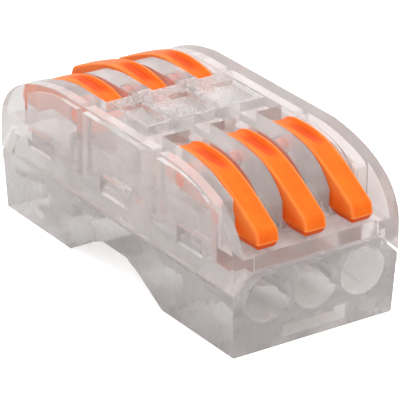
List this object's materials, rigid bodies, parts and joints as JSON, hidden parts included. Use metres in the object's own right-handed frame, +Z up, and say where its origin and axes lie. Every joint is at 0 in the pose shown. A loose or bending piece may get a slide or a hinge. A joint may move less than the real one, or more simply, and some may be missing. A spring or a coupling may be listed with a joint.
{
  "type": "lever wire connector",
  "caption": "Clear inline splice for wires, a two-part housing with a row of orange clamp levers at each end",
  "frame": {"origin": "on the plane of the feet, under the middle of the housing", "axes": "+X along the wires towards the front ports, +Y across the poles, +Z up through the levers"},
  "size_m": [0.0412, 0.0188, 0.0163],
  "materials": {
    "clear_plastic": "clear polycarbonate, polished outside",
    "orange_plastic": "satin orange nylon",
    "spring_steel": "bright rolled strip",
    "tinned_copper": "dull tin plating"
  },
  "bodies": {
    "housing": {"lower_housing": "clear_plastic", "upper_housing": "clear_plastic", "busbar_1": "tinned_copper", "busbar_2": "tinned_copper", "busbar_3": "tinned_copper", "front_clamp_spring_1": "spring_steel", "front_clamp_spring_2": "spring_steel", "front_clamp_spring_3": "spring_steel", "rear_clamp_spring_1": "spring_steel", "rear_clamp_spring_2": "spring_steel", "rear_clamp_spring_3": "spring_steel"},
    "front_lever_1": {"front_lever_1": "orange_plastic"},
    "front_lever_2": {"front_lever_2": "orange_plastic"},
    "front_lever_3": {"front_lever_3": "orange_plastic"},
    "rear_lever_1": {"rear_lever_1": "orange_plastic"},
    "rear_lever_2": {"rear_lever_2": "orange_plastic"},
    "rear_lever_3": {"rear_lever_3": "orange_plastic"}
  },
  "joints": [
    {"name": "front_lever_1_hinge", "type": "hinge", "parent": "housing", "child": "front_lever_1", "pos_m": [0.0092, -0.00535, 0.0136], "axis": [0, -1, 0], "range_deg": [0, 90], "deforming": ["front_clamp_spring_1"]},
    {"name": "front_lever_2_hinge", "type": "hinge", "parent": "housing", "child": "front_lever_2", "pos_m": [0.0092, 0, 0.0136], "axis": [0, -1, 0], "range_deg": [0, 90], "deforming": ["front_clamp_spring_2"]},
    {"name": "front_lever_3_hinge", "type": "hinge", "parent": "housing", "child": "front_lever_3", "pos_m": [0.0092, 0.00535, 0.0136], "axis": [0, -1, 0], "range_deg": [0, 90], "deforming": ["front_clamp_spring_3"]},
    {"name": "rear_lever_1_hinge", "type": "hinge", "parent": "housing", "child": "rear_lever_1", "pos_m": [-0.0092, -0.00535, 0.0136], "axis": [0, 1, 0], "range_deg": [-3, 87], "deforming": ["rear_clamp_spring_1"]},
    {"name": "rear_lever_2_hinge", "type": "hinge", "parent": "housing", "child": "rear_lever_2", "pos_m": [-0.0092, 0, 0.0136], "axis": [0, 1, 0], "range_deg": [-7.5, 82.5], "deforming": ["rear_clamp_spring_2"]},
    {"name": "rear_lever_3_hinge", "type": "hinge", "parent": "housing", "child": "rear_lever_3", "pos_m": [-0.0092, 0.00535, 0.0136], "axis": [0, 1, 0], "range_deg": [-6, 84], "deforming": ["rear_clamp_spring_3"]}
  ]
}
